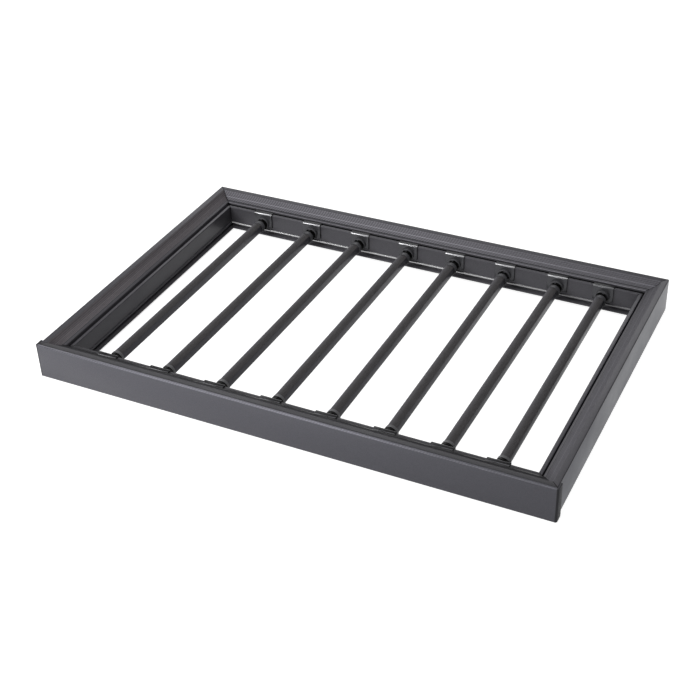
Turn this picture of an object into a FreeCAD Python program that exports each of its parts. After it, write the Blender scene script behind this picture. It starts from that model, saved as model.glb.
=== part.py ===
import FreeCAD, Part
import math
import os
import re
import Sketcher
from FreeCAD import Placement, Rotation, Vector

# Pull-out trouser rack: four mitred aluminium rails make a frame that rides on a pair of
# hidden slides. Eight rods hang across the frame on sheet hooks that run along the rims.
#
# Frame of the part, in millimetres: X to the right, Y to the back of the wardrobe, Z up.
# The origin is the middle of the closed rack's footprint, on the shelf it stands on.
# A rail is drawn in its own frame: x runs outward from the inner face of the rail,
# y along the rail from its middle, and z up from the rim on which the rods hang.

SIZES = [
    # the frame
    ("opening_width", 686.0, "clear width between the side rails"),
    ("opening_depth", 436.0, "clear depth between the front and rear rails"),
    ("rail_width", 34.8, "inner face to outer face of a rail"),
    ("rail_drop", 37.7, "rim down to the lower edge of the outer wall"),
    ("floor_gap", 1.0, "lower edge of the rails above the shelf"),
    ("wall_thick", 1.5, "wall of the rail extrusion"),
    ("rim_width", 5.4, "flat rim that carries the hooks"),
    ("rim_round", 1.2, "rounding of both rim edges"),
    ("slot_width", 3.0, "slot that takes the down-turned leg of a hook"),
    ("slot_depth", 9.0, "depth of that slot below the rim"),
    ("bead_low", 2.7, "inner edge of the band above the rim"),
    ("bead_width", 3.9, "plain strip between the slot and the cove"),
    ("bead_high", 4.5, "start of the cove above the rim"),
    ("cove_width", 13.9, "width of the hollow ribbed band"),
    ("cove_high", 13.7, "top of the cove above the rim"),
    ("cove_radius", 23.5, "hollow curve of the band"),
    ("lip_high", 14.4, "top of the outer lip above the rim"),
    ("edge_round", 1.4, "rounding of the outer lip"),
    ("rib_top", 26.5, "upper face of the inner rib below the rim"),
    ("rib_bottom", 29.4, "lower face of that rib"),
    ("rib_reach", 2.0, "how far the rib stands out of the inner wall"),
    ("flange_top", 33.3, "upper face of the bottom flange below the rim"),
    ("flange_bottom", 35.3, "lower face of the bottom flange"),
    ("flange_reach", 6.9, "how far the flange stands out of the inner wall"),
    ("web_drop", 2.0, "floor of the upper chamber below the rim"),
    ("web_thick", 1.4, "thickness of that floor"),
    ("boss_thick", 2.5, "screw boss on the cavity side of the outer wall"),
    ("boss_height", 10.0, "height of the screw boss"),
    ("slot_wall", 1.2, "wall between the rim chamber and the slot"),
    # corner keys
    ("key_leg", 46.0, "length of each leg of a corner key"),
    ("key_width", 10.5, "width of a leg"),
    ("key_height", 8.2, "height of a key"),
    ("key_clearance", 0.2, "room between a key and its chamber"),
    # fascia and its end caps
    ("fascia_thick", 3.9, "depth of the fascia extrusion"),
    ("fascia_skin", 1.5, "front skin of the fascia"),
    ("fascia_round", 0.6, "rounding of the fascia's long edges"),
    ("cap_thick", 2.9, "thickness of an end cap"),
    ("cap_overlap", 10.3, "how far a cap reaches back over the side rail"),
    ("cap_bevel", 2.0, "bevel on the front edge of a cap"),
    ("cap_tongue", 8.0, "tongue of a cap inside the fascia"),
    ("cap_clearance", 0.2, "room round that tongue"),
    # screws, of which only the hexagonal heads are modelled
    ("screw_head_corner", 3.6, "axis of a screw to a corner of its head"),
    ("screw_head_height", 1.4, "height of a screw head"),
    ("fascia_screw_pitch", 200.0, "spacing of the fascia screws"),
    ("slide_screw_pitch", 176.0, "spacing of the screws along a slide"),
    # slides
    ("slide_length", 450.0, "closed length of a slide"),
    ("slide_setback", 4.0, "middle of the slides behind the middle of the opening"),
    ("slide_height", 32.0, "height of the cabinet member"),
    ("slide_drop", 20.2, "axis of the slides below the rim"),
    ("slide_thick", 1.2, "sheet of the slide members"),
    ("slide_stack", 12.0, "width of a closed slide, web to web"),
    ("cabinet_depth", 9.7, "width of the cabinet member"),
    ("middle_gap", 0.8, "cabinet web to middle web"),
    ("middle_height", 23.6, "height of the middle member"),
    ("middle_depth", 7.7, "width of the middle member"),
    ("rack_member_height", 16.0, "height of the rack member"),
    ("rack_member_depth", 7.6, "width of the rack member"),
    ("race_lip", 1.2, "lip that keeps the balls in their race"),
    ("cage_length", 150.0, "length of a ball cage"),
    ("cage_thick", 0.8, "thickness of the long sides of a cage"),
    ("cage_web", 0.4, "thickness of the back of a cage"),
    ("cage_gap", 0.2, "back of a cage to the web that it slides on"),
    # mounting brackets
    ("bracket_thick", 1.8, "sheet of the mounting bracket"),
    ("bracket_foot", 16.3, "width of the foot on the shelf"),
    ("bracket_top", 4.6, "top of the upright below the rim"),
    ("bracket_bend", 0.6, "inner bend radius of the bracket"),
    ("foot_slot_pitch", 320.0, "spacing of the slots along a bracket"),
    ("foot_slot_length", 9.0, "slot, end to end, across the bracket"),
    ("foot_slot_radius", 2.25, "half width of those slots"),
    # rods
    ("rod_side_room", 56.0, "inner face of a side rail to the first rod, evenly spaced"),
    ("rod_drop", 15.5, "axis of a rod below the rim"),
    ("rod_width", 13.5, "width of the rod extrusion"),
    ("rod_height", 11.8, "height of its flat sides"),
    ("rod_wall", 1.1, "wall of the rod extrusion"),
    ("rod_round", 1.5, "rounding of the lower edges"),
    ("groove_mouth", 5.0, "mouth of the groove that holds the grip strip"),
    ("groove_width", 8.4, "full width of that groove"),
    ("groove_lip", 0.8, "lips over the groove"),
    ("groove_depth", 1.3, "depth of the groove below its lips"),
    ("strip_edge", 0.3, "side edge of the grip strip"),
    ("strip_crown", 2.2, "rise of the strip's curved top above its edges"),
    ("strip_clearance", 0.1, "room round the foot of the strip"),
    # plugs in the ends of the rods
    ("plug_flange_radius", 10.6, "flange against the hook"),
    ("plug_flange_end", 6.4, "inner face of the frame to the front of the flange"),
    ("plug_neck_corner", 8.2, "axis to a corner of the hexagonal neck"),
    ("plug_collar_start", 13.4, "inner face of the frame to the start of the collar"),
    ("plug_collar_radius", 9.6, "collar that the rod butts against"),
    ("plug_collar_end", 20.2, "inner face of the frame to the end of the collar"),
    ("plug_spigot_end", 32.0, "inner face of the frame to the tip of the spigot"),
    ("plug_clearance", 0.1, "room between a plug and its rod"),
    ("plug_pin_side", 5.6, "square pin of the plug through the hook"),
    # hooks
    ("hook_width", 31.0, "width of a hook along the rail"),
    ("hook_thick", 1.8, "sheet of a hook"),
    ("hook_drop", 22.5, "lower edge of a hook's plate below the rim"),
    ("hook_leg", 7.0, "tip of the leg in the slot below the rim"),
    ("hook_gap", 0.15, "room between a hook and the rim"),
    ("hook_pin_gap", 0.2, "room round the plug's pin in its square hole"),
    ("plug_gap", 0.2, "room between a plug's flange and its hook"),
]

# How far the front hook and the rear hook of each rod are shifted to the right of an even
# spacing. The hooks are set by hand along the rims, so the rods are not quite parallel.
ROD_SHIFTS = [
    (1.9, 6.5),
    (5.0, 12.9),
    (9.2, 16.9),
    (13.5, 18.4),
    (13.4, 14.6),
    (14.9, 14.5),
    (11.9, 15.5),
    (4.6, 4.1),
]

doc = FreeCAD.newDocument("TrouserRack")
sheet = doc.addObject("Spreadsheet::Sheet", "Sizes")
for row, (alias, size, meaning) in enumerate(SIZES, start=1):
    sheet.set(f"A{row}", meaning)
    sheet.set(f"B{row}", str(size))
    sheet.setAlias(f"B{row}", alias)
for number, (front_shift, rear_shift) in enumerate(ROD_SHIFTS, start=1):
    row = len(SIZES) + 2 * number
    sheet.set(f"B{row}", str(front_shift))
    sheet.setAlias(f"B{row}", f"front_shift_{number}")
    sheet.set(f"B{row + 1}", str(rear_shift))
    sheet.setAlias(f"B{row + 1}", f"rear_shift_{number}")
doc.recompute()

parts = []


# ---------------------------------------------------------------- helpers

def cell(text):
    """The expression with each size name pointed at its cell. Size names hold an underscore."""
    return re.sub(r"\b([a-z]+_\w+)\b", r"Sizes.\1", text)


def value(text):
    """The number that an expression has now."""
    return float(sheet.evalExpression(cell(text)))


def new_body(label):
    """A PartDesign body; the doc is recomputed so that its origin planes exist."""
    body = doc.addObject("PartDesign::Body", label)
    body.Label = label
    doc.recompute()
    return body


def new_sketch(body, role, offset="0"):
    """A sketch on one of the body's own origin planes, shifted along the plane's normal."""
    plane = [item for item in body.Origin.OriginFeatures if item.Role == role][0]
    sketch = body.newObject("Sketcher::SketchObject", "Sketch")
    sketch.AttachmentSupport = [(plane, "")]
    sketch.MapMode = "FlatFace"
    sketch.setExpression("AttachmentOffset.Base.z", cell(offset))
    return sketch


def fix_point(sketch, element, point, place):
    """Ties one point of the sketch to the origin by two expressions."""
    for kind, text in zip(("DistanceX", "DistanceY"), place):
        constraint = Sketcher.Constraint(kind, -1, 1, element, point, value(text))
        index = sketch.addConstraint(constraint)
        sketch.setExpression(f"Constraints[{index}]", cell(text))


def add_outline(sketch, path):
    """A closed outline. Each step gives the next corner, as (x, y) for a straight run to
    it, or as (x, y, radius, turn) for an arc to it, turn +1 to the left and -1 right."""
    first = sketch.GeometryCount
    corners = [Vector(value(step[0]), value(step[1]), 0) for step in path]
    starts = []
    ends = []
    half_round = []
    for index, step in enumerate(path):
        start = corners[index - 1]
        end = corners[index]
        turn = step[3] if len(step) > 2 else 1
        if len(step) == 2:
            sketch.addGeometry(Part.LineSegment(start, end), False)
            half_round.append(False)
        else:
            radius = value(step[2])
            chord = end - start
            rise = math.sqrt(max(radius ** 2 - (chord.Length / 2) ** 2, 0))
            side = Vector(-chord.y, chord.x, 0).normalize() * turn
            centre = start + chord * 0.5 + side * rise
            sketch.addGeometry(Part.Arc(start, centre - side * radius, end), False)
            half_round.append(rise < 0.001 * radius)
        starts.append(1 if turn > 0 else 2)
        ends.append(2 if turn > 0 else 1)
    for index, step in enumerate(path):
        element = first + index
        after = (index + 1) % len(path)
        # A half round has the run before it as its tangent; other arcs have a radius.
        kind = "Tangent" if half_round[after] else "Coincident"
        sketch.addConstraint(Sketcher.Constraint(
            kind, element, ends[index], first + after, starts[after]))
        fix_point(sketch, element, ends[index], step[:2])
        if len(step) > 2 and not half_round[index]:
            radius = Sketcher.Constraint("Radius", element, value(step[2]))
            number = sketch.addConstraint(radius)
            sketch.setExpression(f"Constraints[{number}]", cell(step[2]))


def add_box(sketch, low_x, high_x, low_y, high_y):
    """A rectangle given by its four sides."""
    add_outline(sketch, [(high_x, low_y), (high_x, high_y), (low_x, high_y), (low_x, low_y)])


def add_circle(sketch, centre_x, centre_y, radius):
    """A circle given by its centre and its radius."""
    centre = Vector(value(centre_x), value(centre_y), 0)
    element = sketch.addGeometry(Part.Circle(centre, Vector(0, 0, 1), value(radius)), False)
    fix_point(sketch, element, 3, (centre_x, centre_y))
    index = sketch.addConstraint(Sketcher.Constraint("Radius", element, value(radius)))
    sketch.setExpression(f"Constraints[{index}]", cell(radius))


def add_hexagon(sketch, corner):
    """A regular hexagon about the origin, given by the radius to its corners."""
    rise = f"{corner} * sqrt(3) / 2"
    add_outline(sketch, [
        (corner, "0"),
        (f"{corner} / 2", rise),
        (f"-{corner} / 2", rise),
        (f"-{corner}", "0"),
        (f"-{corner} / 2", f"-{rise}"),
        (f"{corner} / 2", f"-{rise}"),
    ])


def extrude(body, kind, sketch, length, side="One side", reverse=False):
    """A Pad or a Pocket. A Pocket has to take something away."""
    before = 0 if body.Shape.isNull() else body.Shape.Volume
    feature = body.newObject(f"PartDesign::{kind}", kind)
    feature.Profile = sketch
    feature.SideType = side
    feature.Reversed = reverse
    if length == "through":
        feature.Type = "ThroughAll"
        if side == "Symmetric":
            feature.Type2 = "ThroughAll"
    else:
        feature.setExpression("Length", cell(length))
    doc.recompute()
    if kind == "Pocket" and body.Shape.Volume >= before:
        raise ValueError(f"the pocket in {body.Label} cuts nothing")
    return feature


def put(item, x, y, z, turn=0.0):
    """Places an object, turned about the vertical by so many degrees."""
    item.Placement = Placement(Vector(0, 0, 0), Rotation(Vector(0, 0, 1), turn))
    for name, text in zip("xyz", (x, y, z)):
        item.setExpression(f"Placement.Base.{name}", cell(text))
    return item


def mirror(source, label):
    """The left-hand twin of a right-hand piece."""
    twin = doc.addObject("Part::Mirroring", label)
    twin.Label = label
    twin.Source = source
    twin.Normal = Vector(1, 0, 0)
    return twin


def copy_of(source, x, y, z, turn=0.0):
    """Another copy of a finished piece, put somewhere else."""
    link = doc.addObject("App::Link", f"{source.Name}_copy")
    link.LinkedObject = source
    return put(link, x, y, z, turn)


def group(label, members):
    """Several separate like solids under one name."""
    compound = doc.addObject("Part::Compound", label)
    compound.Label = label
    compound.Links = members
    return compound


def keep(*items):
    """Marks finished sub-parts, which are written out at the end."""
    parts.extend(items)


# ---------------------------------------------------------------- places

SIDE_X = "opening_width / 2"
MIDDLE_Y = "fascia_thick / 2"
FRONT_Y = "fascia_thick / 2 - opening_depth / 2"
REAR_Y = "fascia_thick / 2 + opening_depth / 2"
RIM_Z = "rail_drop + floor_gap"

SLOT_OUT = "rim_width + slot_width"
COVE_IN = "rim_width + slot_width + bead_width"
COVE_OUT = "rim_width + slot_width + bead_width + cove_width"
CAVITY_OUT = "rail_width - wall_thick"
BOSS_FACE = "rail_width - wall_thick - boss_thick"
BOSS_LOW = "-slide_drop - boss_height / 2"
BOSS_TOP = "-slide_drop + boss_height / 2"
WEB_UNDER = "-web_drop - web_thick"


# ---------------------------------------------------------------- rails

def make_rail(label, length):
    """A length of the rail extrusion, mitred at both ends. length is that of its inner face."""
    body = new_body(label)
    section = new_sketch(body, "XZ_Plane")
    add_outline(section, [
        ("-flange_reach", "-flange_bottom"),
        ("-flange_reach", "-flange_top"),
        ("0", "-flange_top"),
        ("0", "-rib_bottom"),
        ("-rib_reach", "-rib_bottom"),
        ("-rib_reach", "-rib_top"),
        ("0", "-rib_top"),
        ("0", "-rim_round"),
        ("rim_round", "0", "rim_round", -1),
        ("rim_width - rim_round", "0"),
        ("rim_width", "-rim_round", "rim_round", -1),
        ("rim_width", "-slot_depth"),
        (SLOT_OUT, "-slot_depth"),
        (SLOT_OUT, "bead_low"),
        (COVE_IN, "bead_high"),
        (COVE_OUT, "cove_high", "cove_radius", 1),
        ("rail_width - edge_round", "lip_high"),
        ("rail_width", "lip_high - edge_round", "edge_round", -1),
        ("rail_width", "-rail_drop"),
        (CAVITY_OUT, "-rail_drop"),
        (CAVITY_OUT, BOSS_LOW),
        (BOSS_FACE, BOSS_LOW),
        (BOSS_FACE, BOSS_TOP),
        (CAVITY_OUT, BOSS_TOP),
        (CAVITY_OUT, WEB_UNDER),
        (f"{SLOT_OUT} + wall_thick", WEB_UNDER),
        (f"{SLOT_OUT} + wall_thick", "-slot_depth - wall_thick"),
        ("wall_thick", "-slot_depth - wall_thick"),
        ("wall_thick", "-flange_bottom"),
    ])
    add_outline(section, [
        (CAVITY_OUT, "-web_drop"),
        (CAVITY_OUT, "lip_high - wall_thick"),
        (f"{COVE_OUT} + wall_thick", "cove_high - wall_thick"),
        (COVE_IN, "bead_high - wall_thick", "cove_radius + wall_thick", -1),
        (f"{SLOT_OUT} + wall_thick", "bead_low - wall_thick / 2"),
        (f"{SLOT_OUT} + wall_thick", "-web_drop"),
    ])
    add_box(section, "wall_thick", "rim_width - slot_wall", "-slot_depth", "-wall_thick")
    extrude(body, "Pad", section, f"{length} + 2 * rail_width", "Symmetric")

    mitres = new_sketch(body, "XY_Plane")
    inside = "(-flange_reach - 1)"
    outside = "(rail_width + 1)"
    for sign in ("", "-"):
        add_outline(mitres, [
            (inside, f"{sign}({length} / 2 + {inside})"),
            (outside, f"{sign}({length} / 2 + {outside})"),
            (inside, f"{sign}({length} / 2 + {outside})"),
        ])
    extrude(body, "Pocket", mitres, "through", "Symmetric")
    return body


FASCIA_SCREWS = [f"{step} * fascia_screw_pitch" for step in ("-1.5", "-0.5", "0.5", "1.5")]
SLIDE_SCREWS = [f"slide_setback + {step} * slide_screw_pitch" for step in ("-1", "0", "1")]

right_rail = make_rail("right_rail", "opening_depth")
put(right_rail, SIDE_X, MIDDLE_Y, RIM_Z)
left_rail = mirror(right_rail, "left_rail")

front_rail = make_rail("front_rail", "opening_width")
put(front_rail, "0", FRONT_Y, RIM_Z, -90)

# The rear rail's outer wall is open at both ends, where the fixed slides pass through it.
rear_rail = make_rail("rear_rail", "opening_width")
windows = new_sketch(rear_rail, "YZ_Plane", "rail_width")
for sign in ("", "-"):
    near = f"{sign}(opening_width / 2 + wall_thick)"
    far = f"{sign}(opening_width / 2 + rail_width - 2 * wall_thick)"
    add_box(windows, near, far, "-rail_drop", WEB_UNDER)
extrude(rear_rail, "Pocket", windows, "wall_thick + boss_thick")
put(rear_rail, "0", REAR_Y, RIM_Z, 90)
keep(front_rail, rear_rail, left_rail, right_rail)


# ---------------------------------------------------------------- corner keys

# An L-shaped key lies in the upper chamber across each mitre and ties two rails together.
corner_key = new_body("corner_key")
plan = new_sketch(corner_key, "XY_Plane", "-web_drop + key_clearance")
key_out = f"({CAVITY_OUT} - key_clearance)"
key_in = f"({key_out} - key_width)"
key_tip = f"({key_out} - key_leg)"
add_outline(plan, [
    (key_out, key_out),
    (key_tip, key_out),
    (key_tip, key_in),
    (key_in, key_in),
    (key_in, key_tip),
    (key_out, key_tip),
])
extrude(corner_key, "Pad", plan, "key_height")
corners = [
    (SIDE_X, REAR_Y, 0),
    (f"-{SIDE_X}", REAR_Y, 90),
    (f"-{SIDE_X}", FRONT_Y, 180),
    (SIDE_X, FRONT_Y, 270),
]
keys = [copy_of(corner_key, x, y, RIM_Z, turn) for x, y, turn in corners]
keep(group("corner_keys", keys))


# ---------------------------------------------------------------- fascia

FASCIA_FACE = "rail_width + fascia_thick"
FASCIA_INSIDE = "rail_width + fascia_thick - fascia_skin"

fascia_panel = new_body("fascia_panel")
section = new_sketch(fascia_panel, "XZ_Plane")
add_outline(section, [
    ("rail_width", "lip_high"),
    (f"{FASCIA_FACE} - fascia_round", "lip_high"),
    (FASCIA_FACE, "lip_high - fascia_round", "fascia_round", -1),
    (FASCIA_FACE, "-rail_drop + fascia_round"),
    (f"{FASCIA_FACE} - fascia_round", "-rail_drop", "fascia_round", -1),
    ("rail_width", "-rail_drop"),
    ("rail_width", "-rail_drop + fascia_skin"),
    (FASCIA_INSIDE, "-rail_drop + fascia_skin"),
    (FASCIA_INSIDE, BOSS_LOW),
    ("rail_width", BOSS_LOW),
    ("rail_width", BOSS_TOP),
    (FASCIA_INSIDE, BOSS_TOP),
    (FASCIA_INSIDE, "lip_high - fascia_skin"),
    ("rail_width", "lip_high - fascia_skin"),
])
extrude(fascia_panel, "Pad", section, "opening_width + 2 * rail_width", "Symmetric")
put(fascia_panel, "0", FRONT_Y, RIM_Z, -90)

# An end cap closes the fascia and covers the front edge of the side rail.
right_cap = new_body("right_fascia_cap")
cap_face = "opening_width / 2 + rail_width"
plate = new_sketch(right_cap, "XY_Plane", "-rail_drop")
add_outline(plate, [
    ("rail_width - cap_overlap", cap_face),
    (FASCIA_FACE, cap_face),
    (FASCIA_FACE, f"{cap_face} + cap_thick - cap_bevel"),
    (f"{FASCIA_FACE} - cap_bevel", f"{cap_face} + cap_thick"),
    ("rail_width - cap_overlap", f"{cap_face} + cap_thick"),
])
extrude(right_cap, "Pad", plate, "rail_drop + lip_high")
tongues = new_sketch(right_cap, "XZ_Plane", f"-({cap_face})")
for low, high in (("-rail_drop + fascia_skin", BOSS_LOW), (BOSS_TOP, "lip_high - fascia_skin")):
    add_box(tongues, "rail_width + cap_clearance", f"{FASCIA_INSIDE} - cap_clearance",
            f"{low} + cap_clearance", f"{high} - cap_clearance")
extrude(right_cap, "Pad", tongues, "cap_tongue")
put(right_cap, "0", FRONT_Y, RIM_Z, -90)
left_cap = mirror(right_cap, "left_fascia_cap")
keep(fascia_panel, left_cap, right_cap)


# ---------------------------------------------------------------- screws

SLIDE_Z = f"{RIM_Z} - slide_drop"
RACK_WEB = f"{BOSS_FACE} - slide_thick"
CABINET_WEB = f"{BOSS_FACE} - slide_stack"
BRACKET_FACE = f"{CABINET_WEB} - bracket_thick"

# Every screw is driven outward from the hollow of a rail, so one head serves for all.
screw = new_body("screw_head")
hexagon = new_sketch(screw, "YZ_Plane")
add_hexagon(hexagon, "screw_head_corner")
extrude(screw, "Pad", hexagon, "screw_head_height", reverse=True)

heads = [copy_of(screw, place, f"{FRONT_Y} - ({BOSS_FACE})", SLIDE_Z, -90)
         for place in FASCIA_SCREWS]
keep(group("fascia_screws", heads))
for label, face in (("rack_member_screws", RACK_WEB), ("bracket_screws", BRACKET_FACE)):
    heads = []
    for place in SLIDE_SCREWS:
        along = f"{MIDDLE_Y} + {place}"
        heads.append(copy_of(screw, f"{SIDE_X} + {face}", along, SLIDE_Z))
        heads.append(copy_of(screw, f"-{SIDE_X} - ({face})", along, SLIDE_Z, 180))
    keep(group(label, heads))


# ---------------------------------------------------------------- slides

SLIDE_Y = f"{MIDDLE_Y} + slide_setback"


def place_pair(body):
    """Puts a right-hand slide piece in its rail and adds its left-hand twin."""
    put(body, SIDE_X, SLIDE_Y, SLIDE_Z)
    twin = mirror(body, body.Label.replace("right", "left"))
    keep(twin, body)


def make_channel(label, web, depth, height, thick, side, lip=None):
    """A C-shaped slide member. It opens outward (side "+") or inward (side "-")."""
    body = new_body(label)
    section = new_sketch(body, "XZ_Plane")
    turn = 1 if side == "+" else -1
    tip = f"{web} {side} {depth}"
    inner = f"{web} {side} {thick}"
    top = f"{height} / 2"
    path = [(tip, f"-{top}")]
    if lip:
        lip_in = f"{tip} - {thick}"
        path += [(tip, f"-{top} + {thick} + {lip}"), (lip_in, f"-{top} + {thick} + {lip}"),
                 (lip_in, f"-{top} + {thick}")]
    else:
        path += [(tip, f"-{top} + {thick}")]
    path += [(inner, f"-{top} + {thick}"), (inner, f"{top} - {thick}")]
    if lip:
        path += [(lip_in, f"{top} - {thick}"), (lip_in, f"{top} - {thick} - {lip}"),
                 (tip, f"{top} - {thick} - {lip}")]
    else:
        path += [(tip, f"{top} - {thick}")]
    path += [(tip, top), (web, top), (web, f"-{top}")]
    add_outline(section, path)
    extrude(body, "Pad", section, "slide_length", "Symmetric")
    return body


cabinet_member = make_channel("right_cabinet_member", CABINET_WEB, "cabinet_depth",
                              "slide_height", "slide_thick", "+", "race_lip")
place_pair(cabinet_member)

MIDDLE_WEB = f"{CABINET_WEB} + slide_thick + middle_gap"
middle_member = make_channel("right_middle_member", MIDDLE_WEB, "middle_depth",
                             "middle_height", "slide_thick", "+", "race_lip")
place_pair(middle_member)

rack_member = make_channel("right_rack_member", BOSS_FACE, "rack_member_depth",
                           "rack_member_height", "slide_thick", "-")
place_pair(rack_member)

# The cages run halfway between the members that they part.
OUTER_RACE = "(slide_height / 2 - slide_thick + middle_height / 2)"
INNER_RACE = "(middle_height / 2 - slide_thick + rack_member_height / 2)"
CAGES = [
    ("right_outer_ball_cage", f"{CABINET_WEB} + slide_thick + cage_gap", OUTER_RACE,
     f"{CABINET_WEB} + cabinet_depth - slide_thick - 1.5 * cage_gap"),
    ("right_inner_ball_cage", f"{MIDDLE_WEB} + slide_thick + cage_gap", INNER_RACE,
     f"{MIDDLE_WEB} + middle_depth - slide_thick - 1.5 * cage_gap"),
]
for label, back, races, tip in CAGES:
    cage = new_body(label)
    section = new_sketch(cage, "XZ_Plane")
    outer = f"({races} / 2 + cage_thick / 2)"
    inner = f"({races} / 2 - cage_thick / 2)"
    add_outline(section, [
        (tip, f"-{outer}"),
        (tip, f"-{inner}"),
        (f"{back} + cage_web", f"-{inner}"),
        (f"{back} + cage_web", inner),
        (tip, inner),
        (tip, outer),
        (back, outer),
        (back, f"-{outer}"),
    ])
    extrude(cage, "Pad", section, "cage_length", "Symmetric")
    place_pair(cage)

# The bracket stands on the shelf inside the side rail and carries the cabinet member.
bracket = new_body("right_mounting_bracket")
section = new_sketch(bracket, "XZ_Plane")
FOOT_LOW = "slide_drop - rail_drop - floor_gap"
FOOT_TOP = f"{FOOT_LOW} + bracket_thick"
add_outline(section, [
    (f"{CABINET_WEB} - bracket_bend - bracket_thick", FOOT_LOW),
    (CABINET_WEB, f"{FOOT_TOP} + bracket_bend", "bracket_bend + bracket_thick", 1),
    (CABINET_WEB, "slide_drop - bracket_top"),
    (BRACKET_FACE, "slide_drop - bracket_top"),
    (BRACKET_FACE, f"{FOOT_TOP} + bracket_bend"),
    (f"{BRACKET_FACE} - bracket_bend", FOOT_TOP, "bracket_bend", -1),
    (f"{CABINET_WEB} - bracket_foot", FOOT_TOP),
    (f"{CABINET_WEB} - bracket_foot", FOOT_LOW),
])
extrude(bracket, "Pad", section, "slide_length", "Symmetric")
foot_slots = new_sketch(bracket, "XY_Plane", FOOT_LOW)
foot_middle = f"({CABINET_WEB} - bracket_thick - bracket_foot) / 2 + ({CABINET_WEB}) / 2"
reach = "(foot_slot_length / 2 - foot_slot_radius)"
for sign in ("-", ""):
    across = f"{sign}foot_slot_pitch / 2"
    add_outline(foot_slots, [
        (f"{foot_middle} + {reach}", f"{across} - foot_slot_radius"),
        (f"{foot_middle} + {reach}", f"{across} + foot_slot_radius", "foot_slot_radius", 1),
        (f"{foot_middle} - {reach}", f"{across} + foot_slot_radius"),
        (f"{foot_middle} - {reach}", f"{across} - foot_slot_radius", "foot_slot_radius", 1),
    ])
extrude(bracket, "Pocket", foot_slots, "bracket_thick", reverse=True)
place_pair(bracket)


# ---------------------------------------------------------------- rods

GROOVE_FLOOR = "rod_height / 2 - groove_lip - groove_depth"
ROD_LENGTH = "opening_depth - 2 * (plug_collar_end + plug_clearance)"

# The rod is drawn about its own axis, with a T-shaped groove along its top.
rod = new_body("rod_profile")
section = new_sketch(rod, "XZ_Plane")
add_outline(section, [
    ("rod_width / 2 - rod_round", "-rod_height / 2"),
    ("rod_width / 2", "-rod_height / 2 + rod_round", "rod_round", 1),
    ("rod_width / 2", "rod_height / 2"),
    ("groove_mouth / 2", "rod_height / 2"),
    ("groove_mouth / 2", "rod_height / 2 - groove_lip"),
    ("groove_width / 2", "rod_height / 2 - groove_lip"),
    ("groove_width / 2", GROOVE_FLOOR),
    ("-groove_width / 2", GROOVE_FLOOR),
    ("-groove_width / 2", "rod_height / 2 - groove_lip"),
    ("-groove_mouth / 2", "rod_height / 2 - groove_lip"),
    ("-groove_mouth / 2", "rod_height / 2"),
    ("-rod_width / 2", "rod_height / 2"),
    ("-rod_width / 2", "-rod_height / 2 + rod_round"),
    ("-rod_width / 2 + rod_round", "-rod_height / 2", "rod_round", 1),
])
add_box(section, "-rod_width / 2 + rod_wall", "rod_width / 2 - rod_wall",
        "-rod_height / 2 + rod_wall", f"{GROOVE_FLOOR} - rod_wall")
extrude(rod, "Pad", section, ROD_LENGTH, "Symmetric")

# The grip strip snaps into the groove; its crowned top is as wide as the rod.
strip = new_body("grip_strip")
section = new_sketch(strip, "XZ_Plane")
STRIP_LOW = "rod_height / 2"
STRIP_EDGE = "rod_height / 2 + strip_edge"
CROWN_RADIUS = "((rod_width / 2) ^ 2 + strip_crown ^ 2) / (2 * strip_crown)"
stem = "(groove_mouth / 2 - strip_clearance)"
foot = "(groove_width / 2 - strip_clearance)"
foot_top = "rod_height / 2 - groove_lip - strip_clearance"
foot_low = f"{GROOVE_FLOOR} + strip_clearance"
add_outline(section, [
    ("rod_width / 2", STRIP_LOW),
    ("rod_width / 2", STRIP_EDGE),
    ("-rod_width / 2", STRIP_EDGE, CROWN_RADIUS, 1),
    ("-rod_width / 2", STRIP_LOW),
    (f"-{stem}", STRIP_LOW),
    (f"-{stem}", foot_top),
    (f"-{foot}", foot_top),
    (f"-{foot}", foot_low),
    (foot, foot_low),
    (foot, foot_top),
    (stem, foot_top),
    (stem, STRIP_LOW),
])
extrude(strip, "Pad", section, ROD_LENGTH, "Symmetric")

# A plug lies along the rod's axis, which is Y here; y = 0 is the inner face of the frame.
# Its square pin keeps the rod upright in the hook, and its spigot fits the hollow rod.
PLUG_BACK = "(hook_gap + hook_thick + plug_gap)"
plug = new_body("end_plug")
flange = new_sketch(plug, "XZ_Plane", f"-{PLUG_BACK}")
add_circle(flange, "0", "0", "plug_flange_radius")
extrude(plug, "Pad", flange, f"plug_flange_end - {PLUG_BACK}", reverse=True)
neck = new_sketch(plug, "XZ_Plane", "-plug_flange_end")
add_hexagon(neck, "plug_neck_corner")
extrude(plug, "Pad", neck, "plug_collar_start - plug_flange_end", reverse=True)
collar = new_sketch(plug, "XZ_Plane", "-plug_collar_start")
add_circle(collar, "0", "0", "plug_collar_radius")
extrude(plug, "Pad", collar, "plug_collar_end - plug_collar_start", reverse=True)
spigot = new_sketch(plug, "XZ_Plane", "-plug_collar_end")
inset = "(rod_wall + plug_clearance)"
add_box(spigot, f"-rod_width / 2 + {inset}", f"rod_width / 2 - {inset}",
        f"-rod_height / 2 + {inset}", f"{GROOVE_FLOOR} - {inset}")
extrude(plug, "Pad", spigot, "plug_spigot_end - plug_collar_end", reverse=True)
pin = new_sketch(plug, "XZ_Plane", f"-{PLUG_BACK}")
add_box(pin, "-plug_pin_side / 2", "plug_pin_side / 2", "-plug_pin_side / 2", "plug_pin_side / 2")
extrude(plug, "Pad", pin, f"{PLUG_BACK} - hook_gap")

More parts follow.
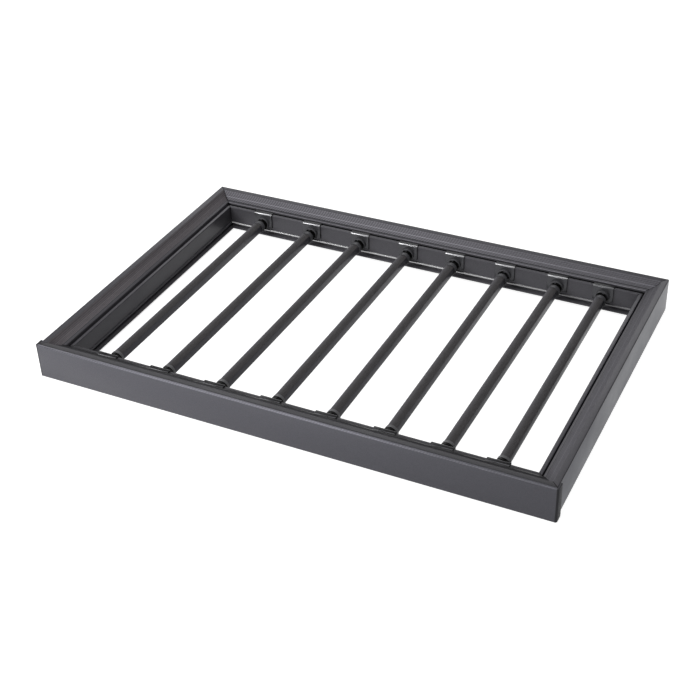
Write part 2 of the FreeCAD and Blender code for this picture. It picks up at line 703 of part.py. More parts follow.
# A hook is a bent strip: a plate on the inner wall, a bridge over the rim and a short
# leg in the slot. x runs along the rail, y away from the rail's inner face, as in the plug.
hook = new_body("hook")
section = new_sketch(hook, "YZ_Plane")
near = "hook_gap"
far = "(hook_gap + hook_thick)"
inside_bend = "rim_round + hook_gap"
outside_bend = "rim_round + hook_gap + hook_thick"
add_outline(section, [
    (far, "-hook_drop"),
    (far, "-rim_round"),
    ("-rim_round", far, outside_bend, 1),
    ("-rim_width + rim_round", far),
    (f"-rim_width - {far}", "-rim_round", outside_bend, 1),
    (f"-rim_width - {far}", "-hook_leg"),
    (f"-rim_width - {near}", "-hook_leg"),
    (f"-rim_width - {near}", "-rim_round"),
    ("-rim_width + rim_round", near, inside_bend, -1),
    ("-rim_round", near),
    (near, "-rim_round", inside_bend, -1),
    (near, "-hook_drop"),
])
extrude(hook, "Pad", section, "hook_width", "Symmetric")
pin_hole = new_sketch(hook, "XZ_Plane")
hole_half = "(plug_pin_side / 2 + hook_pin_gap)"
add_box(pin_hole, f"-{hole_half}", hole_half, f"-rod_drop - {hole_half}", f"-rod_drop + {hole_half}")
extrude(hook, "Pocket", pin_hole, f"2 * {far}", "Symmetric")

AXIS_Z = f"{RIM_Z} - rod_drop"
for number in range(1, len(ROD_SHIFTS) + 1):
    share = (number - 1) / (len(ROD_SHIFTS) - 1) - 0.5
    even = f"{share} * (opening_width - 2 * rod_side_room)"
    front = f"({even} + front_shift_{number})"
    rear = f"({even} + rear_shift_{number})"
    skew = -math.degrees(math.atan2(value(f"{rear} - {front}"), value("opening_depth")))
    middle = f"({front} + {rear}) / 2"
    profile = copy_of(rod, middle, MIDDLE_Y, AXIS_Z, skew)
    profile.Label = f"rod_{number}_profile"
    grip = copy_of(strip, middle, MIDDLE_Y, AXIS_Z, skew)
    grip.Label = f"rod_{number}_grip_strip"
    plugs = group(f"rod_{number}_end_plugs", [
        copy_of(plug, front, FRONT_Y, AXIS_Z, skew),
        copy_of(plug, rear, REAR_Y, AXIS_Z, skew + 180),
    ])
    hooks = group(f"rod_{number}_hooks", [
        copy_of(hook, front, FRONT_Y, RIM_Z),
        copy_of(hook, rear, REAR_Y, RIM_Z, 180),
    ])
    keep(profile, grip, plugs, hooks)


# ---------------------------------------------------------------- write out

doc.recompute()
failed = [item.Label for item in doc.Objects if {"Invalid", "Error"} & set(item.State)]
if failed:
    raise RuntimeError(f"failed objects: {failed}")
for part in parts:
    if part.Shape.isNull() or not part.Shape.isValid():
        raise RuntimeError(f"bad shape: {part.Label}")
os.makedirs("parts", exist_ok=True)
for part in parts:
    part.Shape.exportStep(os.path.join("parts", f"{part.Label}.step"))
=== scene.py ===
import math

import bmesh
import bpy
from mathutils import Matrix, Vector


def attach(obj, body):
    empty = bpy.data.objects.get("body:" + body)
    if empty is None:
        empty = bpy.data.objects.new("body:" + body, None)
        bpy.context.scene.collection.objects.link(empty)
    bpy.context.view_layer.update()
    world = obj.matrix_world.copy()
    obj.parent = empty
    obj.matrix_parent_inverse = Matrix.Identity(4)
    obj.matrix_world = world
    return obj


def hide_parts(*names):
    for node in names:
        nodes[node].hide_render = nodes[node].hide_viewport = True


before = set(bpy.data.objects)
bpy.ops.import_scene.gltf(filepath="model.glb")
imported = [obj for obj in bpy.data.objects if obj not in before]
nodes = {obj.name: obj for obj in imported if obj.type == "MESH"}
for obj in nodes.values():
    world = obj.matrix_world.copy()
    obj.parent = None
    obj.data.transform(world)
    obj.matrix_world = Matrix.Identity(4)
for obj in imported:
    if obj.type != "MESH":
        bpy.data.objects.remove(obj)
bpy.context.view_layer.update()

# ---------------------------------------------------------------- frame rails
# Four lengths of one aluminium extrusion, mitred and tied by keys in the corners, anodised
# dark grey. The hollow band on top has fine ribs along each rail, and the inner rim has a
# slot for the hooks.

OPENING_WIDTH = 0.686
OPENING_DEPTH = 0.436
MIDDLE_Y = 0.00195
RIM_Z = 0.0387
RAIL_EASE = 0.00040
BOLD_EASE = 0.0012
SHARP_EDGE = math.radians(30.0)
SHARP_LOOK = math.radians(33.0)
FLAT_EDGE = math.radians(1.0)
SAME_POINT = 2e-6
SAME_PLACE = 0.0001

# places on the section of a rail, as distances out from the opening
BEAD_OUT = -0.0003
BEAD_EDGE_OUT = -0.0020
INNER_WALL_OUT = 0.0005
SLOT_IN = 0.00535
FOOT_IN = 0.0083
SLOT_OUT = 0.00845
HIGHLIGHT_EDGE_OUT = 0.0090
BAND_IN = 0.0123
FOOT_FADE_IN = 0.0135
HIGHLIGHT_RIB_OUT = 0.0190
FOOT_FADE_OUT = 0.0200
BAND_OUT = 0.0262
OUTER_WALL_OUT = 0.0342

# places on the section of a rail, as heights over the rim
BEAD_LOW = -0.0298
BEAD_EDGE = -0.0265
BEAD_HIGH = -0.0262
DEEP_IN_SLOT = -0.0055
JUST_IN_SLOT = -0.0001
ABOVE_RIM = 0.0001
TOP_LOW = 0.0030
BAND_LOW = 0.0045
SHADOW_LOW = 0.0122
BAND_HIGH = 0.0137
SHADOW_HIGH = 0.0140

BAND_RADIUS = 0.0235
BAND_RIBS = 7
RIB_RADIUS = 0.0006
RIB_PROUD = 0.00025
GUTTER_SHIFT = 0.0001
LINE_HALF_WIDTH = 0.0006
SEAM_HALF_WIDTH = 0.00075
KNURL_PITCH = 0.0044
KNURL_LEAN = 0.0090
SPECK_SCALE = 1700.0
CLOUD_SCALE = 14.0
BAR_SIDES = 12

FRAME_GREY = (0.084, 0.082, 0.091, 1.0)
BEAD_HIGHLIGHT_GREY = (0.45, 0.45, 0.455, 1.0)
WARM_LIGHT_TINT = (1.02, 0.96, 0.93, 1.0)
COOL_LIGHT_TINT = (0.93, 0.99, 1.12, 1.0)

# what each mark adds to the shade of the metal, then the share that others take from it.
# All but the seam are painted light or shade, the knurl strokes in part.
MARK_GAINS = {"band": 0.30, "rear band light": 0.45, "ribs": -0.22, "knurl": 0.55,
              "rib highlight": 1.0, "gutter": -0.85, "slot edge highlight": 1.6, "seam": -0.8}
MARK_LOSSES = {"shadow line": 0.9, "front": 0.42, "foot": 0.58, "inner wall": 0.30,
               "slot": 0.92}


def new_group(name, inputs, outputs):
    """A shader node group with its sockets, as (tree, input node, output node)."""
    tree = bpy.data.node_groups.new(name, "ShaderNodeTree")
    for label, kind, value in inputs:
        socket = tree.interface.new_socket(name=label, in_out="INPUT", socket_type=kind)
        socket.default_value = value
    for label, kind in outputs:
        tree.interface.new_socket(name=label, in_out="OUTPUT", socket_type=kind)
    return tree, tree.nodes.new("NodeGroupInput"), tree.nodes.new("NodeGroupOutput")


def math_node(tree, operation, first, second=None, third=None):
    """A Math node fed by sockets or plain numbers. Gives its output socket."""
    node = tree.nodes.new("ShaderNodeMath")
    node.operation = operation
    for slot, source in enumerate((first, second, third)):
        if source is None:
            continue
        if isinstance(source, (int, float)):
            node.inputs[slot].default_value = source
        else:
            tree.links.new(source, node.inputs[slot])
    return node.outputs[0]


def mix_colour(tree, factor, first, second, blend="MIX"):
    """A colour Mix node fed by sockets or plain values. Gives its output socket."""
    node = tree.nodes.new("ShaderNodeMix")
    node.data_type = "RGBA"
    node.blend_type = blend
    for slot, source in ((0, factor), (6, first), (7, second)):
        if isinstance(source, (int, float, tuple)):
            node.inputs[slot].default_value = source
        else:
            tree.links.new(source, node.inputs[slot])
    return node.outputs[2]


def ramp_between(tree, source, low, high, at_low, at_high):
    """A clamped linear map of a value, from low..high to at_low..at_high."""
    node = tree.nodes.new("ShaderNodeMapRange")
    tree.links.new(source, node.inputs[0])
    for slot, number in enumerate((low, high, at_low, at_high), start=1):
        node.inputs[slot].default_value = number
    return node.outputs[0]


def object_place(tree):
    """The Object coordinate."""
    return tree.nodes.new("ShaderNodeTexCoord").outputs["Object"]


def split_vector(tree, source):
    """The three numbers of a vector."""
    split = tree.nodes.new("ShaderNodeSeparateXYZ")
    tree.links.new(source, split.inputs[0])
    return split.outputs


def shaded(tree, colour, shade):
    """A colour times a shade, which is the same number for red, green and blue."""
    grey = tree.nodes.new("ShaderNodeCombineColor")
    for slot in range(3):
        tree.links.new(shade, grey.inputs[slot])
    return mix_colour(tree, 1.0, colour, grey.outputs[0], "MULTIPLY")


def make_anodised_grain():
    """The grain of an anodised surface: fine bright specks and soft cloudy unevenness."""
    tree, given, result = new_group(
        "anodised grain",
        [("Colour", "NodeSocketColor", (0.1, 0.1, 0.1, 1.0)),
         ("Speck Amount", "NodeSocketFloat", 0.2),
         ("Cloud Amount", "NodeSocketFloat", 0.08),
         ("Roughness", "NodeSocketFloat", 0.4)],
        [("Colour", "NodeSocketColor"), ("Roughness", "NodeSocketFloat"),
         ("Height", "NodeSocketFloat")])
    place = object_place(tree)
    cells = tree.nodes.new("ShaderNodeTexVoronoi")
    cells.inputs["Scale"].default_value = SPECK_SCALE
    tree.links.new(place, cells.inputs["Vector"])
    speck = tree.nodes.new("ShaderNodeSeparateColor")
    tree.links.new(cells.outputs["Color"], speck.inputs[0])
    centred = math_node(tree, "SUBTRACT", speck.outputs[0], 0.5)
    clouds = tree.nodes.new("ShaderNodeTexNoise")
    clouds.inputs["Scale"].default_value = CLOUD_SCALE
    clouds.inputs["Detail"].default_value = 3.0
    tree.links.new(place, clouds.inputs["Vector"])
    soft = math_node(tree, "SUBTRACT", clouds.outputs["Fac"], 0.5)
    gain = math_node(tree, "MULTIPLY", centred, given.outputs["Speck Amount"])
    gain = math_node(tree, "ADD", gain, 1.0)
    gain = math_node(tree, "MULTIPLY_ADD", soft, given.outputs["Cloud Amount"], gain)
    tree.links.new(shaded(tree, given.outputs["Colour"], gain), result.inputs["Colour"])
    rough = math_node(tree, "MULTIPLY_ADD", soft, 0.25, given.outputs["Roughness"])
    tree.links.new(rough, result.inputs["Roughness"])
    tree.links.new(speck.outputs[1], result.inputs["Height"])
    return tree


anodised_grain = make_anodised_grain()


def new_material(name):
    """An empty node material, as (material, tree, Principled BSDF)."""
    material = bpy.data.materials.new(name)
    material.use_nodes = True
    tree = material.node_tree
    return material, tree, tree.nodes["Principled BSDF"]


def dress(node_name, material):
    """Gives a CAD node its material."""
    mesh = nodes[node_name].data
    mesh.materials.clear()
    mesh.materials.append(material)


def eased_twin(node_name, label, material, ease, body, bold=None,
               bold_ease=BOLD_EASE, square=None, steps=2):
    """A copy of a CAD node with its sharp edges eased, which stands for the node. The
    edges whose middle is picked by bold are rounded by bold_ease instead, after square
    has brought the points of a small rounding there back to their corner."""
    shape = bmesh.new()
    shape.from_mesh(nodes[node_name].data)
    if square:
        for point in shape.verts:
            point.co = square(point.co)
    bmesh.ops.remove_doubles(shape, verts=shape.verts, dist=SAME_POINT)
    bmesh.ops.dissolve_limit(shape, angle_limit=FLAT_EDGE, verts=shape.verts,
                             edges=shape.edges)
    weight = shape.edges.layers.float.new("bevel_weight_edge")
    for edge in shape.edges:
        if edge.calc_face_angle(0.0) > SHARP_EDGE:
            middle = (edge.verts[0].co + edge.verts[1].co) / 2
            edge[weight] = 1.0 if bold and bold(middle) else ease / bold_ease
    mesh = bpy.data.meshes.new(label)
    shape.to_mesh(mesh)
    shape.free()
    carrier = bpy.data.objects.new(label, mesh)
    bpy.context.scene.collection.objects.link(carrier)
    bevel = carrier.modifiers.new("ease", "BEVEL")
    bevel.width = bold_ease
    bevel.segments = steps
    bevel.limit_method = "WEIGHT"
    bevel.use_clamp_overlap = False
    graph = bpy.context.evaluated_depsgraph_get()
    made = bpy.data.meshes.new_from_object(carrier.evaluated_get(graph), depsgraph=graph)
    bpy.data.objects.remove(carrier)
    made.name = label
    made.polygons.foreach_set("use_smooth", [True] * len(made.polygons))
    made.set_sharp_from_angle(angle=SHARP_LOOK)
    made.materials.clear()
    made.materials.append(material)
    piece = bpy.data.objects.new(label, made)
    bpy.context.scene.collection.objects.link(piece)
    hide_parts(node_name)
    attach(piece, body)
    return piece


def place_grain(tree, colour, speck, cloud, rough):
    """An anodised grain group with its values."""
    grain = tree.nodes.new("ShaderNodeGroup")
    grain.node_tree = anodised_grain
    if isinstance(colour, tuple):
        grain.inputs["Colour"].default_value = colour
    else:
        tree.links.new(colour, grain.inputs["Colour"])
    grain.inputs["Speck Amount"].default_value = speck
    grain.inputs["Cloud Amount"].default_value = cloud
    grain.inputs["Roughness"].default_value = rough
    return grain


def add_bump(tree, shader, height, depth):
    """A bump of the given depth in metres on a shader."""
    bump = tree.nodes.new("ShaderNodeBump")
    bump.inputs["Strength"].default_value = 1.0
    bump.inputs["Distance"].default_value = depth
    tree.links.new(height, bump.inputs["Height"])
    tree.links.new(bump.outputs[0], shader.inputs["Normal"])


def over(tree, source, limit):
    """1 where a value is over a limit, else 0."""
    return math_node(tree, "GREATER_THAN", source, limit)


def under(tree, source, limit):
    """1 where a value is under a limit, else 0."""
    return math_node(tree, "LESS_THAN", source, limit)


def all_of(tree, mask, *others):
    """The product of masks, which is 1 where all of them are."""
    for other in others:
        mask = math_node(tree, "MULTIPLY", mask, other)
    return mask


def apart_from(tree, mask):
    """The inverse of a mask."""
    return math_node(tree, "SUBTRACT", 1.0, mask)


def between(tree, source, low, high):
    """1 where a value lies between two limits, else 0."""
    return all_of(tree, over(tree, source, low), under(tree, source, high))


def tool_strokes(tree, across, pitch, rise, lean):
    """A wave along a rail, slanted by a distance that rises across the rail."""
    slant = math_node(tree, "MULTIPLY_ADD", across, 2 * math.pi / pitch,
                      math_node(tree, "MULTIPLY", rise, -2 * math.pi / lean))
    return math_node(tree, "SINE", slant)


def out_from_opening(tree, across, back):
    """How far a point lies outside the opening, sideways and to the front or back."""
    side_out = math_node(tree, "SUBTRACT", math_node(tree, "ABSOLUTE", across),
                         OPENING_WIDTH / 2)
    end_out = math_node(tree, "SUBTRACT", back, MIDDLE_Y)
    end_out = math_node(tree, "SUBTRACT", math_node(tree, "ABSOLUTE", end_out),
                        OPENING_DEPTH / 2)
    return side_out, end_out


def make_rail_finish():
    """The rails: the distance out from the opening places the ribs, seams and slot."""
    material, tree, shader = new_material("rail anodised grey")
    across, back, up = split_vector(tree, object_place(tree))
    side_out, end_out = out_from_opening(tree, across, back)
    out = math_node(tree, "MAXIMUM", side_out, end_out)
    on_end = over(tree, end_out, side_out)
    on_side = apart_from(tree, on_end)
    rear = all_of(tree, on_end, over(tree, back, 0.0))
    front = all_of(tree, on_end, under(tree, back, 0.0))
    on_top = over(tree, up, RIM_Z + TOP_LOW)
    band = all_of(tree, on_top, between(tree, out, BAND_IN, BAND_OUT))
    # painted light and shade: the band paler than the walls, as light falls on the top, the
    # band of the rear rail paler still, and the whole front rail darker
    marks = {"band": band, "rear band light": all_of(tree, band, rear), "front": front}
    # painted shade: the valleys between the ribs are darker than the ribs
    share = math_node(tree, "DIVIDE", math_node(tree, "SUBTRACT", out, BAND_IN),
                      (BAND_OUT - BAND_IN) / BAND_RIBS)
    ribs = math_node(tree, "COSINE", math_node(tree, "MULTIPLY", share, 2 * math.pi))
    marks["ribs"] = all_of(tree, ribs, band)
    # cross strokes of the knurling wheel; that they show on the rear rail only, fainter to
    # the right, is painted light
    marks["knurl"] = all_of(tree, tool_strokes(tree, across, KNURL_PITCH, out, KNURL_LEAN),
                            band, rear, ramp_between(tree, across, -0.10, 0.25, 1.0, 0.25))
    # a painted highlight along one rib in the middle of the band, most of all on the rear
    # rail
    pale = math_node(tree, "COMPARE", out, HIGHLIGHT_RIB_OUT, LINE_HALF_WIDTH)
    marks["rib highlight"] = all_of(tree, band, pale,
                               math_node(tree, "MULTIPLY_ADD", rear, 1.1, 0.3))
    # painted shade in the gutter along the inner edge of the band, fainter on the side
    # rails
    gutter = math_node(tree, "COMPARE", out, BAND_IN - GUTTER_SHIFT, LINE_HALF_WIDTH)
    marks["gutter"] = all_of(tree, gutter, on_top,
                             math_node(tree, "MULTIPLY_ADD", on_end, 0.6, 0.4))
    # a painted highlight along the edge behind the slot
    marks["slot edge highlight"] = all_of(tree, on_end, between(tree, out, SLOT_OUT, HIGHLIGHT_EDGE_OUT),
                                  over(tree, up, RIM_Z + ABOVE_RIM))
    seam = math_node(tree, "COMPARE", side_out, end_out, SEAM_HALF_WIDTH)
    marks["seam"] = seam
    # a shadow line runs just under the outer top edge, except behind the fascia
    line = all_of(tree, over(tree, out, OUTER_WALL_OUT), apart_from(tree, front),
                  between(tree, up, RIM_Z + SHADOW_LOW, RIM_Z + SHADOW_HIGH))
    marks["shadow line"] = line
    # painted shade: the foot of the front band is darker than the rest of the front rail
    marks["foot"] = all_of(tree, front, over(tree, out, FOOT_IN),
                           ramp_between(tree, out, FOOT_FADE_IN, FOOT_FADE_OUT, 1.0, 0.0))
    # painted shade: the inner walls of the side rails are darker
    marks["inner wall"] = all_of(tree, under(tree, out, INNER_WALL_OUT), on_side)
    # painted shade in the slot, on the side rails only deep inside
    dark_below = math_node(tree, "MULTIPLY_ADD", on_end, JUST_IN_SLOT - DEEP_IN_SLOT,
                           RIM_Z + DEEP_IN_SLOT)
    in_slot = all_of(tree, between(tree, out, SLOT_IN, SLOT_OUT),
                     under(tree, up, dark_below))
    marks["slot"] = in_slot
    shade = 1.0
    for name, gain in MARK_GAINS.items():
        shade = math_node(tree, "MULTIPLY_ADD", marks[name], gain, shade)
    for name, loss in MARK_LOSSES.items():
        shade = math_node(tree, "MULTIPLY", shade,
                          math_node(tree, "MULTIPLY_ADD", marks[name], -loss, 1.0))
    colour = shaded(tree, FRAME_GREY, shade)
    # painted tints of the light: the band of the left rail a little warmer, the outer wall
    # of the right one bluer
    left_band_warm_light = all_of(tree, band, under(tree, across, 0.0), on_side)
    colour = mix_colour(tree, left_band_warm_light, colour, WARM_LIGHT_TINT, "MULTIPLY")
    right_wall_cool_light = all_of(tree, over(tree, side_out, OUTER_WALL_OUT), over(tree, across, 0.0))
    colour = mix_colour(tree, right_wall_cool_light, colour, COOL_LIGHT_TINT, "MULTIPLY")
    # a painted highlight along the bead low on the inner wall of the long rails, weaker to
    # the right
    bead = all_of(tree, between(tree, up, RIM_Z + BEAD_LOW, RIM_Z + BEAD_HIGH),
                  under(tree, out, BEAD_OUT), on_end,
                  ramp_between(tree, across, 0.02, 0.30, 1.0, 0.30))
    colour = mix_colour(tree, bead, colour, BEAD_HIGHLIGHT_GREY)
    grain = place_grain(tree, colour, speck=0.22, cloud=0.10, rough=0.38)
    tree.links.new(grain.outputs["Colour"], shader.inputs["Base Color"])
    # the band and the slot are dull, the bead is smooth bare metal
    rough = grain.outputs["Roughness"]
    for mark, gain in ((band, 0.22), (bead, -0.12), (in_slot, 0.5)):
        rough = math_node(tree, "MULTIPLY_ADD", mark, gain, rough)
    tree.links.new(rough, shader.inputs["Roughness"])
    metal = math_node(tree, "MULTIPLY_ADD", bead, 0.7, 0.25)
    dull = math_node(tree, "MAXIMUM", in_slot, math_node(tree, "MAXIMUM", line, seam))
    metal = math_node(tree, "MULTIPLY_ADD", dull, -0.25, metal)
    tree.links.new(metal, shader.inputs["Metallic"])
    shader.inputs["Specular IOR Level"].default_value = 0.12
    add_bump(tree, shader, grain.outputs["Height"], depth=0.000006)
    return material


def new_build(name, inputs):
    """A geometry node tree with named inputs, as (tree, input node, output node)."""
    tree = bpy.data.node_groups.new(name, "GeometryNodeTree")
    for label, kind in [("Geometry", "NodeSocketGeometry"), *inputs]:
        tree.interface.new_socket(name=label, in_out="INPUT", socket_type=kind)
    tree.interface.new_socket(name="Geometry", in_out="OUTPUT",
                              socket_type="NodeSocketGeometry")
    return tree, tree.nodes.new("NodeGroupInput"), tree.nodes.new("NodeGroupOutput")


def finish_build(tree, result, geometry, material):
    """Realises the instances, sets the material and ends the tree."""
    real = tree.nodes.new("GeometryNodeRealizeInstances")
    tree.links.new(geometry, real.inputs[0])
    paint = tree.nodes.new("GeometryNodeSetMaterial")
    tree.links.new(real.outputs[0], paint.inputs["Geometry"])
    tree.links.new(material, paint.inputs["Material"])
    tree.links.new(paint.outputs[0], result.inputs[0])


def build_mesh(name, tree, values, start=None):
    """Runs a geometry node tree on a mesh and gives the result as a plain object."""
    mesh = start if start is not None else bpy.data.meshes.new(name)
    carrier = bpy.data.objects.new(name, mesh)
    bpy.context.scene.collection.objects.link(carrier)
    modifier = carrier.modifiers.new("build", "NODES")
    modifier.node_group = tree
    for item in tree.interface.items_tree:
        if item.in_out == "INPUT" and item.name in values:
            modifier[item.identifier] = values[item.name]
    graph = bpy.context.evaluated_depsgraph_get()
    made = bpy.data.meshes.new_from_object(carrier.evaluated_get(graph),
                                           preserve_all_data_layers=True, depsgraph=graph)
    bpy.data.objects.remove(carrier)
    made.name = name
    piece = bpy.data.objects.new(name, made)
    bpy.context.scene.collection.objects.link(piece)
    return piece


def make_rib_build():
    """The raised ribs of one band: bars of growing length, side by side on the curve."""
    tree, given, result = new_build("ribs of the band", [
        ("Rib Count", "NodeSocketInt"), ("Rib Radius", "NodeSocketFloat"),
        ("Rib Proud", "NodeSocketFloat"), ("Half Length", "NodeSocketFloat"),
        ("Band In", "NodeSocketFloat"), ("Band Out", "NodeSocketFloat"),
        ("Curve Out", "NodeSocketFloat"), ("Curve Up", "NodeSocketFloat"),
        ("Curve Radius", "NodeSocketFloat"), ("Place", "NodeSocketVector"),
        ("Turn", "NodeSocketFloat"), ("Material", "NodeSocketMaterial")])
    links = tree.links
    row = tree.nodes.new("GeometryNodeMeshLine")
    links.new(given.outputs["Rib Count"], row.inputs["Count"])
    number = tree.nodes.new("GeometryNodeInputIndex").outputs[0]
    share = math_node(tree, "DIVIDE", math_node(tree, "ADD", number, 0.5),
                      given.outputs["Rib Count"])
    span = math_node(tree, "SUBTRACT", given.outputs["Band Out"], given.outputs["Band In"])
    out = math_node(tree, "MULTIPLY_ADD", share, span, given.outputs["Band In"])
    offset = math_node(tree, "SUBTRACT", out, given.outputs["Curve Out"])
    reach = math_node(tree, "SUBTRACT", given.outputs["Curve Radius"],
                      math_node(tree, "SUBTRACT", given.outputs["Rib Proud"],
                                given.outputs["Rib Radius"]))
    fall = math_node(tree, "SUBTRACT", math_node(tree, "MULTIPLY", reach, reach),
                     math_node(tree, "MULTIPLY", offset, offset))
    up = math_node(tree, "SUBTRACT", given.outputs["Curve Up"],
                   math_node(tree, "SQRT", fall))
    spot = tree.nodes.new("ShaderNodeCombineXYZ")
    links.new(out, spot.inputs[0])
    links.new(up, spot.inputs[2])
    lay = tree.nodes.new("GeometryNodeSetPosition")
    links.new(row.outputs["Mesh"], lay.inputs["Geometry"])
    links.new(spot.outputs[0], lay.inputs["Position"])
    bar = tree.nodes.new("GeometryNodeMeshCylinder")
    bar.inputs["Vertices"].default_value = BAR_SIDES
    bar.inputs["Depth"].default_value = 2.0
    links.new(given.outputs["Rib Radius"], bar.inputs["Radius"])
    level = tree.nodes.new("GeometryNodeTransform")
    level.inputs["Rotation"].default_value = (math.pi / 2, 0.0, 0.0)
    links.new(bar.outputs["Mesh"], level.inputs["Geometry"])
    stretch = tree.nodes.new("ShaderNodeCombineXYZ")
    stretch.inputs[0].default_value = 1.0
    links.new(math_node(tree, "ADD", given.outputs["Half Length"], out), stretch.inputs[1])
    stretch.inputs[2].default_value = 1.0
    bars = tree.nodes.new("GeometryNodeInstanceOnPoints")
    links.new(lay.outputs[0], bars.inputs["Points"])
    links.new(level.outputs[0], bars.inputs["Instance"])
    links.new(stretch.outputs[0], bars.inputs["Scale"])
    seat = tree.nodes.new("GeometryNodeTransform")
    turn = tree.nodes.new("ShaderNodeCombineXYZ")
    links.new(given.outputs["Turn"], turn.inputs[2])
    links.new(bars.outputs[0], seat.inputs["Geometry"])
    links.new(given.outputs["Place"], seat.inputs["Translation"])
    links.new(turn.outputs[0], seat.inputs["Rotation"])
    finish_build(tree, result, seat.outputs[0], given.outputs["Material"])
    return tree


def on_bead(middle):
    """Picks the upper outer edge of the bead low on the inner wall."""
    out = max(abs(middle.x) - OPENING_WIDTH / 2,
              abs(middle.y - MIDDLE_Y) - OPENING_DEPTH / 2)
    return (abs(middle.z - RIM_Z - BEAD_EDGE) < SAME_PLACE
            and abs(out - BEAD_EDGE_OUT) < SAME_PLACE)


rail_finish = make_rail_finish()
for name in ("front_rail", "rear_rail", "left_rail", "right_rail"):
    eased_twin(name, f"eased_{name}", rail_finish, RAIL_EASE, "rack",
               on_bead, steps=3)

rib_build = make_rib_build()
band_width = BAND_OUT - BAND_IN
band_rise = BAND_HIGH - BAND_LOW
band_chord = math.hypot(band_width, band_rise)
band_depth = math.sqrt(BAND_RADIUS ** 2 - (band_chord / 2) ** 2)
for name, place, turn, half_length in (
        ("front", (0.0, MIDDLE_Y - OPENING_DEPTH / 2), -math.pi / 2, OPENING_WIDTH / 2),
        ("rear", (0.0, MIDDLE_Y + OPENING_DEPTH / 2), math.pi / 2, OPENING_WIDTH / 2),
        ("left", (-OPENING_WIDTH / 2, MIDDLE_Y), math.pi, OPENING_DEPTH / 2),
        ("right", (OPENING_WIDTH / 2, MIDDLE_Y), 0.0, OPENING_DEPTH / 2)):
    ribs = build_mesh(f"{name}_band_ribs", rib_build, {
        "Rib Count": BAND_RIBS, "Rib Radius": RIB_RADIUS, "Rib Proud": RIB_PROUD,
        "Half Length": half_length, "Band In": BAND_IN, "Band Out": BAND_OUT,
        "Curve Out": (BAND_IN + BAND_OUT) / 2 - band_rise / band_chord * band_depth,
        "Curve Up": (BAND_LOW + BAND_HIGH) / 2 + band_width / band_chord * band_depth,
        "Curve Radius": BAND_RADIUS, "Place": (*place, RIM_Z), "Turn": turn,
        "Material": rail_finish})
    ribs.data.polygons.foreach_set("use_smooth", [True] * len(ribs.data.polygons))
    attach(ribs, "rack")

# ---------------------------------------------------------------- fascia and end caps
# A shallow extrusion across the front, screwed to the front rail, in the same grey. Each
# end is closed by a moulded cap that wraps round the end of the side rail.

FASCIA_GREY = (0.099, 0.098, 0.113, 1.0)
FASCIA_FRONT = -0.25475
FASCIA_TOP = 0.0531
FASCIA_EASE = 0.0017
EDGE_EASE = 0.0003
SMALL_ROUNDING = 0.0007
STROKE_PITCH = 0.0042
STROKE_LEAN = 0.0036
HIGHLIGHT_MIDDLE = -0.06
CAP_GREY = (0.050, 0.050, 0.055, 1.0)


def make_fascia_finish():
    """The fascia: satin anodised. Its eased top edge has slanted tool strokes under a
    painted highlight, most of all in the middle of its length, and its flat top is painted
    paler, as light falls on the top."""
    material, tree, shader = new_material("fascia anodised grey")
    across, back, up = split_vector(tree, object_place(tree))
    top = over(tree, up, FASCIA_TOP - FASCIA_EASE)
    flat_top = over(tree, back, FASCIA_FRONT + FASCIA_EASE)
    edge = all_of(tree, top, apart_from(tree, flat_top))
    off_middle = math_node(tree, "ABSOLUTE",
                           math_node(tree, "SUBTRACT", across, HIGHLIGHT_MIDDLE))
    # a painted highlight on the eased top edge, strongest in the middle, and the strokes
    # fade with it
    top_edge_highlight = ramp_between(tree, off_middle, 0.14, 0.30, 0.95, 0.10)
    shade = math_node(tree, "MULTIPLY_ADD", edge, top_edge_highlight, 1.0)
    stroke = all_of(tree, tool_strokes(tree, across, STROKE_PITCH, up, STROKE_LEAN), edge)
    contrast = ramp_between(tree, off_middle, 0.22, 0.44, 0.28, 0.08)
    shade = math_node(tree, "MULTIPLY_ADD", stroke, contrast, shade)
    # painted light: the flat top is paler
    shade = math_node(tree, "MULTIPLY_ADD", all_of(tree, flat_top, top), 0.65, shade)
    grain = place_grain(tree, shaded(tree, FASCIA_GREY, shade), speck=0.18, cloud=0.08,
                        rough=0.42)
    tree.links.new(grain.outputs["Colour"], shader.inputs["Base Color"])
    tree.links.new(grain.outputs["Roughness"], shader.inputs["Roughness"])
    shader.inputs["Metallic"].default_value = 0.25
    shader.inputs["Specular IOR Level"].default_value = 0.20
    add_bump(tree, shader, grain.outputs["Height"], depth=0.00006)
    return material


def make_moulded_finish(name, colour, rough, speck=0.12, gloss=0.30):
    """A moulded plastic with a fine spark-eroded texture. A colour given as a function is
    made in the tree of the material."""
    material, tree, shader = new_material(name)
    grain = place_grain(tree, colour(tree) if callable(colour) else colour, speck,
                        cloud=0.12, rough=rough)
    tree.links.new(grain.outputs["Colour"], shader.inputs["Base Color"])
    tree.links.new(grain.outputs["Roughness"], shader.inputs["Roughness"])
    shader.inputs["Specular IOR Level"].default_value = gloss
    add_bump(tree, shader, grain.outputs["Height"], depth=0.00005)
    return material


def to_fascia_corner(point):
    """Moves a point of the small rounding at the top front edge into the corner."""
    if point.y < FASCIA_FRONT + SMALL_ROUNDING and point.z > FASCIA_TOP - SMALL_ROUNDING:
        return Vector((point.x, FASCIA_FRONT, FASCIA_TOP))
    return point


def on_fascia_corner(middle):
    """Picks the top front edge of the fascia."""
    return middle.y < FASCIA_FRONT + SAME_PLACE and middle.z > FASCIA_TOP - SAME_PLACE


